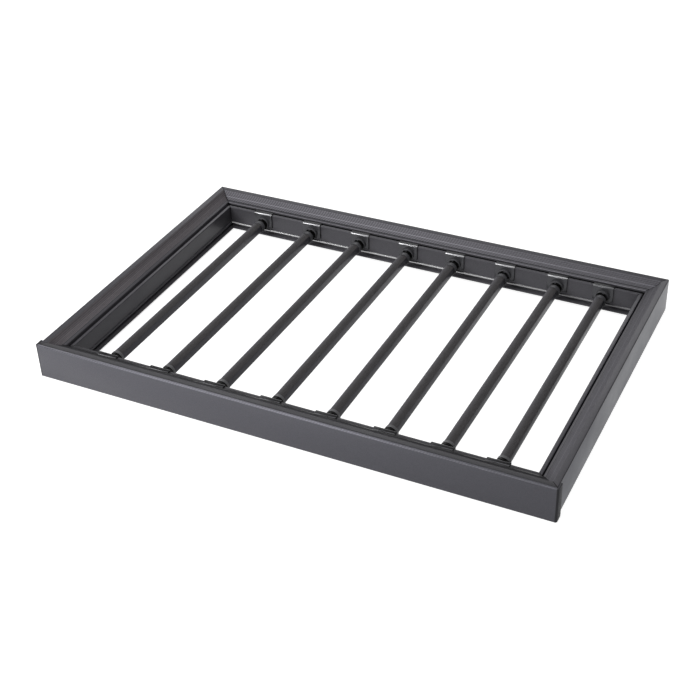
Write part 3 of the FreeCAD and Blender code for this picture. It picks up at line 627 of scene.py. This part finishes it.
eased_twin("fascia_panel", "eased_fascia", make_fascia_finish(), EDGE_EASE,
           "rack", on_fascia_corner, FASCIA_EASE, to_fascia_corner, steps=1)
cap_finish = make_moulded_finish("end cap plastic", CAP_GREY, 0.60, gloss=0.12)
for name in ("left_fascia_cap", "right_fascia_cap"):
    eased_twin(name, f"eased_{name}", cap_finish, EDGE_EASE, "rack")

# ---------------------------------------------------------------- slides and brackets
# Two telescopic ball slides hidden in the side rails: rolled zinc-plated steel members, a
# middle member between two ball cages, and a bent bracket that carries each on the shelf.

ZINC = (0.56, 0.57, 0.58, 1.0)
CAGE_BLACK = (0.02, 0.02, 0.021, 1.0)
KEY_GREY = (0.42, 0.42, 0.43, 1.0)
SPANGLE_SCALE = 240.0


def lines_along(tree, place, fineness, along):
    """A noise stretched into lines from front to back, the marks of rolling or drawing."""
    stretch = tree.nodes.new("ShaderNodeMapping")
    stretch.inputs["Scale"].default_value = (fineness, along, fineness)
    tree.links.new(place, stretch.inputs["Vector"])
    lines = tree.nodes.new("ShaderNodeTexNoise")
    lines.inputs["Scale"].default_value = 1.0
    tree.links.new(stretch.outputs[0], lines.inputs["Vector"])
    return lines


def make_zinc_finish():
    """Bright zinc plate with a faint spangle and rolling lines along the slide."""
    material, tree, shader = new_material("zinc plated steel")
    place = object_place(tree)
    lines = lines_along(tree, place, fineness=900.0, along=12.0)
    lines.inputs["Detail"].default_value = 4.0
    spangle = tree.nodes.new("ShaderNodeTexVoronoi")
    spangle.inputs["Scale"].default_value = SPANGLE_SCALE
    tree.links.new(place, spangle.inputs["Vector"])
    tone = tree.nodes.new("ShaderNodeSeparateColor")
    tree.links.new(spangle.outputs["Color"], tone.inputs[0])
    shade = math_node(tree, "MULTIPLY_ADD", tone.outputs[0], 0.10, 0.92)
    tree.links.new(shaded(tree, ZINC, shade), shader.inputs["Base Color"])
    tree.links.new(ramp_between(tree, lines.outputs["Fac"], 0.3, 0.7, 0.26, 0.40),
                   shader.inputs["Roughness"])
    shader.inputs["Metallic"].default_value = 1.0
    add_bump(tree, shader, lines.outputs["Fac"], depth=0.00004)
    return material


zinc = make_zinc_finish()
cage_finish = make_moulded_finish("ball cage plastic", CAGE_BLACK, 0.4)
key_finish = make_moulded_finish("die cast key", KEY_GREY, 0.5)
for side in ("left", "right"):
    for member in ("mounting_bracket", "cabinet_member", "middle_member", "rack_member"):
        dress(f"{side}_{member}", zinc)
    for cage in ("outer", "inner"):
        dress(f"{side}_{cage}_ball_cage", cage_finish)
for name in ("fascia_screws", "rack_member_screws", "bracket_screws"):
    dress(name, zinc)
dress("corner_keys", key_finish)

# ---------------------------------------------------------------- rods
# Eight hollow aluminium rods with flat sides, each with a rubber grip strip snapped into a
# groove along its top. The strip has a crowned top with fine ribs along it.

ROD_PLACES = [
    (-0.2851, -0.2805), (-0.2000, -0.1921), (-0.1138, -0.1061), (-0.0275, -0.0226),
    (0.0544, 0.0556), (0.1379, 0.1375), (0.2169, 0.2205), (0.2916, 0.2911)]
ROD_DROP = 0.0155
RIB_STEPS = 6
JOIN_DISTANCE = 1e-6
ROD_EASE = 0.0003
ROD_GREY = (0.049, 0.048, 0.057, 1.0)
STRIP_GREY = (0.044, 0.041, 0.043, 1.0)
STRIP_LIT_SIDE_GREY = (0.098, 0.095, 0.106, 1.0)


def make_rod_finish():
    """The rods: anodised like the frame, with drawing lines along them."""
    material, tree, shader = new_material("rod anodised grey")
    lines = lines_along(tree, object_place(tree), fineness=700.0, along=8.0)
    grain = place_grain(tree, ROD_GREY, speck=0.18, cloud=0.08, rough=0.38)
    tree.links.new(grain.outputs["Colour"], shader.inputs["Base Color"])
    tree.links.new(grain.outputs["Roughness"], shader.inputs["Roughness"])
    shader.inputs["Metallic"].default_value = 0.15
    shader.inputs["Specular IOR Level"].default_value = 0.15
    add_bump(tree, shader, lines.outputs["Fac"], depth=0.00005)
    return material


def colour_strip(tree):
    """The strip is painted paler along the left side of its crown, where the light falls on
    it.
    """
    unrolled = tree.nodes.new("ShaderNodeTexCoord").outputs["UV"]
    side = ramp_between(tree, split_vector(tree, unrolled)[0], 0.0, 0.60, 1.0, 0.0)
    return mix_colour(tree, side, STRIP_GREY, STRIP_LIT_SIDE_GREY)


rod_finish = make_rod_finish()
strip_finish = make_moulded_finish("grip strip rubber", colour_strip, 0.55, speck=0.06)


def make_strip_build():
    """A ribbed strip: a grid whose upper side is crowned and carries ribs along it. Its UV
    map runs from 0 to 1 across the crown."""
    tree, given, result = new_build("ribbed grip strip", [
        ("Length", "NodeSocketFloat"), ("Width", "NodeSocketFloat"),
        ("Edge Height", "NodeSocketFloat"), ("Crown Radius", "NodeSocketFloat"),
        ("Rib Count", "NodeSocketInt"), ("Rib Height", "NodeSocketFloat"),
        ("Place", "NodeSocketVector"), ("Turn", "NodeSocketFloat"),
        ("Material", "NodeSocketMaterial")])
    links = tree.links
    grid = tree.nodes.new("GeometryNodeMeshGrid")
    links.new(given.outputs["Width"], grid.inputs["Size X"])
    links.new(given.outputs["Length"], grid.inputs["Size Y"])
    columns = math_node(tree, "MULTIPLY_ADD", given.outputs["Rib Count"], RIB_STEPS, 1)
    links.new(columns, grid.inputs["Vertices X"])
    grid.inputs["Vertices Y"].default_value = 2
    extrude = tree.nodes.new("GeometryNodeExtrudeMesh")
    extrude.inputs["Individual"].default_value = False
    extrude.inputs["Offset Scale"].default_value = 1.0
    links.new(grid.outputs["Mesh"], extrude.inputs["Mesh"])
    bottom = tree.nodes.new("GeometryNodeFlipFaces")
    links.new(grid.outputs["Mesh"], bottom.inputs[0])
    shell = tree.nodes.new("GeometryNodeJoinGeometry")
    links.new(extrude.outputs["Mesh"], shell.inputs[0])
    links.new(bottom.outputs[0], shell.inputs[0])
    closed = tree.nodes.new("GeometryNodeMergeByDistance")
    closed.inputs["Distance"].default_value = JOIN_DISTANCE
    links.new(shell.outputs[0], closed.inputs["Geometry"])
    x, y, z = split_vector(tree, tree.nodes.new("GeometryNodeInputPosition").outputs[0])
    radius = given.outputs["Crown Radius"]
    half = math_node(tree, "MULTIPLY", given.outputs["Width"], 0.5)

    def drop(distance):
        square = math_node(tree, "MULTIPLY", distance, distance)
        whole = math_node(tree, "MULTIPLY", radius, radius)
        return math_node(tree, "SQRT", math_node(tree, "SUBTRACT", whole, square))

    crown = math_node(tree, "SUBTRACT", drop(x), drop(half))
    height = math_node(tree, "ADD", crown, given.outputs["Edge Height"])
    share = math_node(tree, "DIVIDE", x, given.outputs["Width"])
    phase = math_node(tree, "MULTIPLY", share, given.outputs["Rib Count"])
    wave = math_node(tree, "COSINE", math_node(tree, "MULTIPLY", phase, 2 * math.pi))
    dip = math_node(tree, "MULTIPLY", math_node(tree, "SUBTRACT", wave, 1.0), 0.5)
    height = math_node(tree, "MULTIPLY_ADD", dip, given.outputs["Rib Height"], height)
    raised = tree.nodes.new("ShaderNodeCombineXYZ")
    links.new(x, raised.inputs[0])
    links.new(y, raised.inputs[1])
    links.new(height, raised.inputs[2])
    unroll = tree.nodes.new("ShaderNodeCombineXYZ")
    links.new(math_node(tree, "ADD", share, 0.5), unroll.inputs[0])
    marked = tree.nodes.new("GeometryNodeStoreNamedAttribute")
    marked.data_type = "FLOAT2"
    marked.domain = "CORNER"
    marked.inputs["Name"].default_value = "UVMap"
    links.new(closed.outputs["Geometry"], marked.inputs["Geometry"])
    links.new(unroll.outputs[0], marked.inputs["Value"])
    # the upper side was drawn out to a height of 1, so this picks it
    move = tree.nodes.new("GeometryNodeSetPosition")
    links.new(marked.outputs["Geometry"], move.inputs["Geometry"])
    links.new(over(tree, z, 0.5), move.inputs["Selection"])
    links.new(raised.outputs[0], move.inputs["Position"])
    turn = tree.nodes.new("ShaderNodeCombineXYZ")
    links.new(given.outputs["Turn"], turn.inputs[2])
    seat = tree.nodes.new("GeometryNodeTransform")
    links.new(move.outputs[0], seat.inputs["Geometry"])
    links.new(given.outputs["Place"], seat.inputs["Translation"])
    links.new(turn.outputs[0], seat.inputs["Rotation"])
    finish_build(tree, result, seat.outputs[0], given.outputs["Material"])
    return tree


strip_build = make_strip_build()
COLLAR_END = 0.0202
END_GAP = 0.0001
ROD_TOP = 0.0059
ROD_WIDTH = 0.0135
STRIP_EDGE = 0.0003
STRIP_CROWN = 0.0022
STRIP_RIBS = 9
STRIP_RIB_HEIGHT = 0.00035
strip_length = OPENING_DEPTH - 2 * (COLLAR_END + END_GAP)
crown_radius = ((ROD_WIDTH / 2) ** 2 + STRIP_CROWN ** 2) / (2 * STRIP_CROWN)
for number, (front_x, rear_x) in enumerate(ROD_PLACES, start=1):
    eased_twin(f"rod_{number}_profile", f"drawn_rod_{number}", rod_finish, ROD_EASE,
               f"rod_{number}")
    skew = -math.atan2(rear_x - front_x, OPENING_DEPTH)
    strip = build_mesh(f"ribbed_strip_{number}", strip_build, {
        "Length": strip_length, "Width": ROD_WIDTH, "Edge Height": STRIP_EDGE,
        "Crown Radius": crown_radius, "Rib Count": STRIP_RIBS,
        "Rib Height": STRIP_RIB_HEIGHT,
        "Place": ((front_x + rear_x) / 2, MIDDLE_Y, RIM_Z - ROD_DROP + ROD_TOP),
        "Turn": skew, "Material": strip_finish})
    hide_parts(f"rod_{number}_grip_strip")
    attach(strip, f"rod_{number}")

# ---------------------------------------------------------------- end plugs
# A moulded plug in each end of a rod: a flange against the hook, a slim neck with six
# lugs, and a collar with a thin lip that the rod butts against.

PLUG_GREY = (0.072, 0.072, 0.078, 1.0)
NECK_SHADE_GREY = (0.004, 0.004, 0.004, 1.0)
FRONT_COLLAR_LIT_GREY = (0.128, 0.128, 0.134, 1.0)
FRONT_SHADE_OUT = -0.0151
NECK_IN = -0.0124
NECK_OUT = -0.0064
LUG_COUNT = 6
LUG_SIZE = 0.0022
LUG_RADIUS = 0.0083
LUG_PLACE = 0.0074
PLUG_SIDES = 40
PLUG_PROFILE = [
    (0.00215, 0.0), (0.00215, 0.0102), (0.00245, 0.0106), (0.0055, 0.0106),
    (0.0064, 0.0096), (0.0064, 0.0076), (0.0123, 0.0076), (0.0123, 0.0085),
    (0.0126, 0.0088), (0.0150, 0.0088), (0.0150, 0.0092), (0.0154, 0.0096),
    (0.0197, 0.0096), (0.0202, 0.0091), (0.0202, 0.0)]


def turn_profile(name, profile, segments):
    """A closed solid turned about the Y axis from (y, radius) pairs."""
    shape = bmesh.new()
    rings = []
    for along, radius in profile:
        if radius == 0.0:
            rings.append([shape.verts.new((0.0, along, 0.0))])
            continue
        rings.append([shape.verts.new((radius * math.sin(2 * math.pi * k / segments), along,
                                       radius * math.cos(2 * math.pi * k / segments)))
                      for k in range(segments)])
    for near, far in zip(rings, rings[1:]):
        for k in range(segments):
            after = (k + 1) % segments
            if len(near) == 1:
                shape.faces.new((near[0], far[k], far[after]))
            elif len(far) == 1:
                shape.faces.new((near[k], far[0], near[after]))
            else:
                shape.faces.new((near[k], far[k], far[after], near[after]))
    bmesh.ops.recalc_face_normals(shape, faces=shape.faces)
    mesh = bpy.data.meshes.new(name)
    shape.to_mesh(mesh)
    shape.free()
    return mesh


def make_plug_build():
    """The two plugs of a rod: lugs are set round the neck, and a twin faces the first."""
    tree, given, result = new_build("pair of end plugs", [
        ("Lug Count", "NodeSocketInt"), ("Lug Radius", "NodeSocketFloat"),
        ("Lug Size", "NodeSocketVector"), ("Lug Place", "NodeSocketFloat"),
        ("Front", "NodeSocketVector"), ("Rear", "NodeSocketVector"),
        ("Turn", "NodeSocketFloat"), ("Material", "NodeSocketMaterial")])
    links = tree.links
    ring = tree.nodes.new("GeometryNodeCurvePrimitiveCircle")
    links.new(given.outputs["Lug Radius"], ring.inputs["Radius"])
    spots = tree.nodes.new("GeometryNodeCurveToPoints")
    spots.mode = "COUNT"
    links.new(ring.outputs[0], spots.inputs[0])
    links.new(given.outputs["Lug Count"], spots.inputs["Count"])
    lug = tree.nodes.new("GeometryNodeMeshCube")
    links.new(given.outputs["Lug Size"], lug.inputs["Size"])
    lugs = tree.nodes.new("GeometryNodeInstanceOnPoints")
    links.new(spots.outputs["Points"], lugs.inputs["Points"])
    links.new(lug.outputs["Mesh"], lugs.inputs["Instance"])
    links.new(spots.outputs["Rotation"], lugs.inputs["Rotation"])
    stand = tree.nodes.new("GeometryNodeTransform")
    stand.inputs["Rotation"].default_value = (math.pi / 2, 0.0, 0.0)
    along = tree.nodes.new("ShaderNodeCombineXYZ")
    links.new(given.outputs["Lug Place"], along.inputs[1])
    links.new(along.outputs[0], stand.inputs["Translation"])
    links.new(lugs.outputs[0], stand.inputs["Geometry"])
    plug = tree.nodes.new("GeometryNodeJoinGeometry")
    links.new(stand.outputs[0], plug.inputs[0])
    links.new(given.outputs["Geometry"], plug.inputs[0])
    both = tree.nodes.new("GeometryNodeJoinGeometry")
    for place, half_turn in (("Front", 0.0), ("Rear", math.pi)):
        angle = tree.nodes.new("ShaderNodeCombineXYZ")
        links.new(math_node(tree, "ADD", given.outputs["Turn"], half_turn), angle.inputs[2])
        seat = tree.nodes.new("GeometryNodeTransform")
        links.new(plug.outputs[0], seat.inputs["Geometry"])
        links.new(given.outputs[place], seat.inputs["Translation"])
        links.new(angle.outputs[0], seat.inputs["Rotation"])
        links.new(seat.outputs[0], both.inputs[0])
    finish_build(tree, result, both.outputs[0], given.outputs["Material"])
    return tree


def colour_plug(tree):
    """Painted shade and light. The neck between flange and collar is painted darker than
    both, as shade. At the front the flange and the lip of the collar are painted as dark,
    and the rest of the collar paler, as light falls on it."""
    across, back, _ = split_vector(tree, object_place(tree))
    end_out = out_from_opening(tree, across, back)[1]
    front = under(tree, back, 0.0)
    dark = all_of(tree, front, over(tree, end_out, FRONT_SHADE_OUT))
    dark = math_node(tree, "MAXIMUM", between(tree, end_out, NECK_IN, NECK_OUT), dark)
    colour = mix_colour(tree, front, PLUG_GREY, FRONT_COLLAR_LIT_GREY)
    return mix_colour(tree, dark, colour, NECK_SHADE_GREY)


plug_finish = make_moulded_finish("end plug plastic", colour_plug, 0.28, gloss=0.15)
plug_build = make_plug_build()
front_y = MIDDLE_Y - OPENING_DEPTH / 2
rear_y = MIDDLE_Y + OPENING_DEPTH / 2
for number, (front_x, rear_x) in enumerate(ROD_PLACES, start=1):
    plugs = build_mesh(f"end_plugs_{number}", plug_build, {
        "Lug Count": LUG_COUNT, "Lug Radius": LUG_RADIUS,
        "Lug Size": (LUG_SIZE, LUG_SIZE, LUG_SIZE), "Lug Place": LUG_PLACE,
        "Front": (front_x, front_y, RIM_Z - ROD_DROP),
        "Rear": (rear_x, rear_y, RIM_Z - ROD_DROP),
        "Turn": -math.atan2(rear_x - front_x, OPENING_DEPTH), "Material": plug_finish},
        turn_profile("plug", PLUG_PROFILE, PLUG_SIDES))
    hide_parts(f"rod_{number}_end_plugs")
    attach(plugs, f"rod_{number}")

# ---------------------------------------------------------------- hooks
# Sixteen bent strips of coated sheet steel. Each has a plate against the inner wall, a
# bridge over the rim and a short leg in the slot, so it can be slid along the rail.

HOOK_EASE = 0.00018
SIDE_FACING = 0.3
FLAT_FACING = 0.97
BEND_FACING = (0.42, 0.88)
OVER_OPENING = 0.001
HOOK_GREY = (0.070, 0.070, 0.076, 1.0)
HOOK_TOP_SHADE_GREY = (0.022, 0.022, 0.024, 1.0)
BEND_HIGHLIGHT_GREY = (0.36, 0.36, 0.37, 1.0)
SLOT_BEND_GREY = (0.055, 0.055, 0.058, 1.0)
SHEARED_EDGE_SHADE_GREY = (0.002, 0.002, 0.002, 1.0)


def make_hook_finish():
    """Coated steel. Its cut side edges are painted near black as shade and its flat tops
    painted dark, and a painted highlight runs along the bends over the opening at the rear,
    weaker on the hooks to the right and not there at the front; over the slot the bends are
    painted a little darker than the coat."""
    material, tree, shader = new_material("coated hook steel")
    across, back, _ = split_vector(tree, object_place(tree))
    end_out = out_from_opening(tree, across, back)[1]
    normal = tree.nodes.new("ShaderNodeNewGeometry").outputs["Normal"]
    facing_side, _, facing_up = split_vector(tree, normal)
    # painted shade: the cut side edges are near black
    sheared_and_shaded = over(tree, math_node(tree, "ABSOLUTE", facing_side), SIDE_FACING)
    coated = apart_from(tree, sheared_and_shaded)
    over_opening = under(tree, end_out, OVER_OPENING)
    no_painted_highlight = all_of(tree, over_opening, under(tree, back, 0.0))
    bend = all_of(tree, between(tree, facing_up, *BEND_FACING),
                  ramp_between(tree, across, 0.24, 0.28, 1.0, 0.3),
                  apart_from(tree, no_painted_highlight))
    # painted shade on the flat tops
    flat = over(tree, facing_up, FLAT_FACING)
    colour = mix_colour(tree, flat, HOOK_GREY, HOOK_TOP_SHADE_GREY)
    # a painted highlight on the bends over the opening; over the slot the bends are painted
    # a little darker
    bend_highlight_tone = mix_colour(tree, over_opening, SLOT_BEND_GREY, BEND_HIGHLIGHT_GREY)
    colour = mix_colour(tree, bend, colour, bend_highlight_tone)
    colour = mix_colour(tree, sheared_and_shaded, colour, SHEARED_EDGE_SHADE_GREY)
    grain = place_grain(tree, colour, speck=0.08, cloud=0.10, rough=0.28)
    tree.links.new(grain.outputs["Colour"], shader.inputs["Base Color"])
    rough = math_node(tree, "MULTIPLY_ADD", sheared_and_shaded, 0.5, grain.outputs["Roughness"])
    tree.links.new(rough, shader.inputs["Roughness"])
    metal = all_of(tree, math_node(tree, "MULTIPLY_ADD", bend, 0.6, 0.35), coated)
    tree.links.new(metal, shader.inputs["Metallic"])
    shader.inputs["Specular IOR Level"].default_value = 0.20
    add_bump(tree, shader, grain.outputs["Height"], depth=0.000004)
    return material


hook_finish = make_hook_finish()
for number in range(1, 9):
    eased_twin(f"rod_{number}_hooks", f"bent_hooks_{number}", hook_finish, HOOK_EASE,
               f"rod_{number}")

# ---------------------------------------------------------------- floor, light and camera
# A plain white floor and soft studio light, seen from the front right and above.

FLOOR_GREY = (0.48, 0.48, 0.48, 1.0)
FLOOR_GLOW = 0.88
FLOOR_RINGS = ((3.2, 0.0), (4.0, 0.12), (4.6, 0.5), (5.0, 1.1), (5.2, 2.0))
FLOOR_SIDES = 64
WHITE = (1.0, 1.0, 1.0, 1.0)
SKY_LEVEL = 0.12


def make_floor():
    """A pale sweep whose far edge rises all round. The eye sees it glow white, but it sends
    out no more light than a grey floor."""
    shape = bmesh.new()
    rings = []
    for radius, height in FLOOR_RINGS:
        rings.append([shape.verts.new((radius * math.cos(2 * math.pi * k / FLOOR_SIDES),
                                       radius * math.sin(2 * math.pi * k / FLOOR_SIDES),
                                       height))
                      for k in range(FLOOR_SIDES)])
    shape.faces.new(rings[0])
    for lower, higher in zip(rings, rings[1:]):
        for k in range(FLOOR_SIDES):
            after = (k + 1) % FLOOR_SIDES
            shape.faces.new((lower[k], lower[after], higher[after], higher[k]))
    mesh = bpy.data.meshes.new("studio_floor")
    shape.to_mesh(mesh)
    shape.free()
    floor = bpy.data.objects.new("studio_floor", mesh)
    bpy.context.scene.collection.objects.link(floor)
    material, tree, shader = new_material("studio floor white")
    shader.inputs["Base Color"].default_value = FLOOR_GREY
    shader.inputs["Roughness"].default_value = 0.9
    shader.inputs["Specular IOR Level"].default_value = 0.0
    path = tree.nodes.new("ShaderNodeLightPath")
    seen = math_node(tree, "MAXIMUM", path.outputs["Is Camera Ray"],
                     path.outputs["Is Glossy Ray"])
    seen = math_node(tree, "MAXIMUM", seen, path.outputs["Is Transmission Ray"])
    shader.inputs["Emission Color"].default_value = WHITE
    tree.links.new(math_node(tree, "MULTIPLY", seen, FLOOR_GLOW),
                   shader.inputs["Emission Strength"])
    mesh.materials.append(material)


def make_world(level):
    """An even grey sky."""
    world = bpy.data.worlds.new("studio")
    bpy.context.scene.world = world
    world.use_nodes = True
    sky = world.node_tree.nodes["Background"]
    sky.inputs["Strength"].default_value = level
    sky.inputs["Color"].default_value = WHITE


def add_panel(name, place, aim, width, height, power):
    """A soft rectangular lamp that faces a point."""
    data = bpy.data.lights.new(name, "AREA")
    data.shape = "RECTANGLE"
    data.size = width
    data.size_y = height
    data.energy = power
    lamp = bpy.data.objects.new(name, data)
    lamp.location = place
    lamp.rotation_euler = (Vector(aim) - Vector(place)).to_track_quat("-Z", "Y").to_euler()
    lamp.visible_camera = False
    bpy.context.scene.collection.objects.link(lamp)


make_floor()
make_world(SKY_LEVEL)
for name, place, aim, width, height, power in (
        ("highlight_strip", (-0.95, -0.75, 1.10), (-0.12, 0.21, 0.03), 0.45, 1.3, 9.0),
        ("left_key", (-1.45, -0.95, 0.85), (-0.15, 0.0, 0.0), 0.5, 0.5, 6.0),
        ("front_fill", (-0.5, -2.2, 0.6), (0.0, 0.0, 0.0), 0.8, 0.6, 14.0),
        ("right_side", (1.25, 0.55, 0.45), (0.3, 0.0, 0.0), 0.5, 0.4, 1.0),
        ("back_panel", (-0.60, 1.50, 0.95), (0.0, 0.1, 0.0), 1.6, 0.6, 6.5),
        ("overhead", (0.1, 0.0, 2.2), (0.0, 0.0, 0.0), 2.0, 1.4, 20.0)):
    add_panel(name, place, aim, width, height, power)

AZIMUTH = math.radians(27.10)
ELEVATION = math.radians(34.82)
ROLL = math.radians(-2.18)
CAMERA_PLACE = Vector((0.7062, -1.4171, 1.0884))
backward = Vector((math.sin(AZIMUTH) * math.cos(ELEVATION),
                   -math.cos(AZIMUTH) * math.cos(ELEVATION), math.sin(ELEVATION)))
level_right = Vector((math.cos(AZIMUTH), math.sin(AZIMUTH), 0.0))
level_up = backward.cross(level_right)
right = level_right * math.cos(ROLL) + level_up * math.sin(ROLL)
upward = level_up * math.cos(ROLL) - level_right * math.sin(ROLL)
lens = bpy.data.cameras.new("camera")
lens.lens = 68.26
lens.sensor_width = 36.0
lens.clip_end = 50.0
camera = bpy.data.objects.new("camera", lens)
camera.matrix_world = Matrix((
    (right.x, upward.x, backward.x, CAMERA_PLACE.x),
    (right.y, upward.y, backward.y, CAMERA_PLACE.y),
    (right.z, upward.z, backward.z, CAMERA_PLACE.z),
    (0.0, 0.0, 0.0, 1.0)))
bpy.context.scene.collection.objects.link(camera)
bpy.context.scene.camera = camera
bpy.context.scene.view_settings.view_transform = "Standard"
